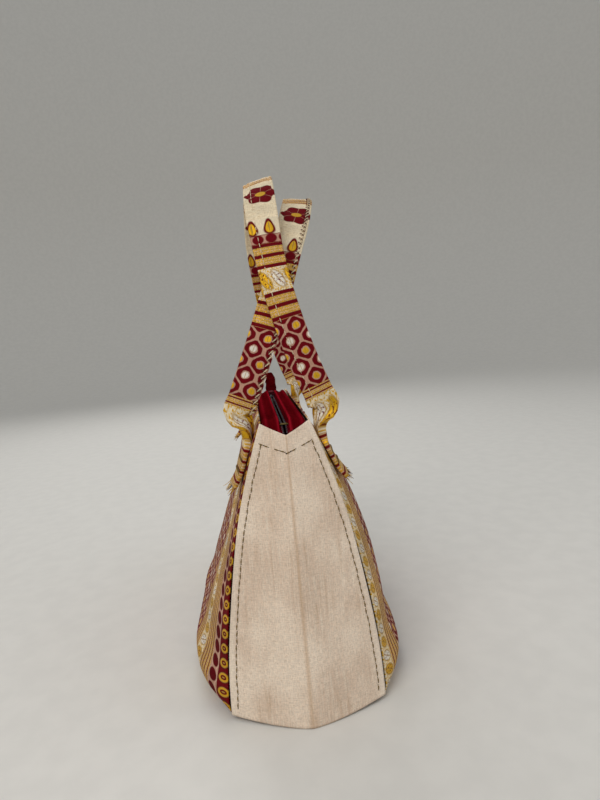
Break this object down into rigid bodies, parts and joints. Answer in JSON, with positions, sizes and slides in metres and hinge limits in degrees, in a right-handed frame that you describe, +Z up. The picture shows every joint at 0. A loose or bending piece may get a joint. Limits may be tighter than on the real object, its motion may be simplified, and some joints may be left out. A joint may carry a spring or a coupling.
{
  "type": "brocade handbag",
  "caption": "Small structured handbag with brocade panels, creased raw-silk end gussets, a zipped satin top and two short folding strap handles.",
  "frame": {"origin": "middle of the footprint, on the surface the bag stands on", "axes": "+X along the bag to the end gusset on the right of the front face, +Y from the front face to the back face, +Z up"},
  "size_m": [0.3018, 0.1468, 0.3617],
  "materials": {
    "brocade": "maroon and gold woven brocade, slight metallic sheen",
    "raw_silk": "slubby raw silk, soft sheen",
    "board": "uncoated grey board",
    "stiffener": "white fusible interlining",
    "satin": "crimson satin",
    "zip_tape": "fine woven tape",
    "zip_coil": "nylon coil",
    "zip_metal": "enamelled die-cast metal",
    "strap_brocade": "cream, maroon and gold brocade strap",
    "felt_core": "felt webbing",
    "thread": "olive-gold thread"
  },
  "bodies": {
    "root": {"front_panel": "brocade", "back_panel": "brocade", "base_panel": "brocade", "right_gusset": "raw_silk", "left_gusset": "raw_silk", "front_board": "board", "back_board": "board", "base_board": "board", "right_gusset_stiffener": "stiffener", "left_gusset_stiffener": "stiffener", "front_lining": "satin", "back_lining": "satin", "base_lining": "satin", "right_gusset_lining": "satin", "left_gusset_lining": "satin", "right_zip_end": "satin", "left_zip_end": "satin", "zip_end_tab": "satin", "right_tape_end": "zip_tape", "left_tape_end": "zip_tape", "right_coil_end": "zip_coil", "left_coil_end": "zip_coil", "right_front_tab": "strap_brocade", "left_front_tab": "strap_brocade", "right_back_tab": "strap_brocade", "left_back_tab": "strap_brocade", "zip_bar_tacks": "thread", "right_gusset_stitching": "thread", "left_gusset_stitching": "thread", "tab_stitching": "thread"},
    "front_flap_body": {"front_flap": "satin", "front_zip_tape": "zip_tape", "front_zip_coil": "zip_coil"},
    "back_flap_body": {"back_flap": "satin", "back_zip_tape": "zip_tape", "back_zip_coil": "zip_coil"},
    "slider_body": {"zip_slider": "zip_metal"},
    "pull_body": {"zip_pull": "zip_metal"},
    "front_handle_body": {"front_handle": "strap_brocade", "front_handle_core": "felt_core"},
    "back_handle_body": {"back_handle": "strap_brocade", "back_handle_core": "felt_core"}
  },
  "joints": [
    {"name": "front_flap_fold", "type": "hinge", "parent": "root", "child": "front_flap_body", "pos_m": [0, -0.0146, 0.1806], "axis": [1, 0, 0], "range_deg": [0, 75]},
    {"name": "back_flap_fold", "type": "hinge", "parent": "root", "child": "back_flap_body", "pos_m": [0, 0.0146, 0.1806], "axis": [-1, 0, 0], "range_deg": [0, 75]},
    {"name": "slider_run", "type": "slide", "parent": "root", "child": "slider_body", "axis": [1, 0, 0], "range_m": [0, 0.189]},
    {"name": "pull_swing", "type": "hinge", "parent": "slider_body", "child": "pull_body", "pos_m": [-0.0945, 0, 0.18145], "axis": [0, 1, 0], "range_deg": [0, 100]},
    {"name": "front_handle_swing", "type": "hinge", "parent": "root", "child": "front_handle_body", "pos_m": [0, -0.028, 0.189], "axis": [1, 0, 0], "range_deg": [0, 120]},
    {"name": "back_handle_swing", "type": "hinge", "parent": "root", "child": "back_handle_body", "pos_m": [0, 0.028, 0.189], "axis": [-1, 0, 0], "range_deg": [0, 120]}
  ]
}
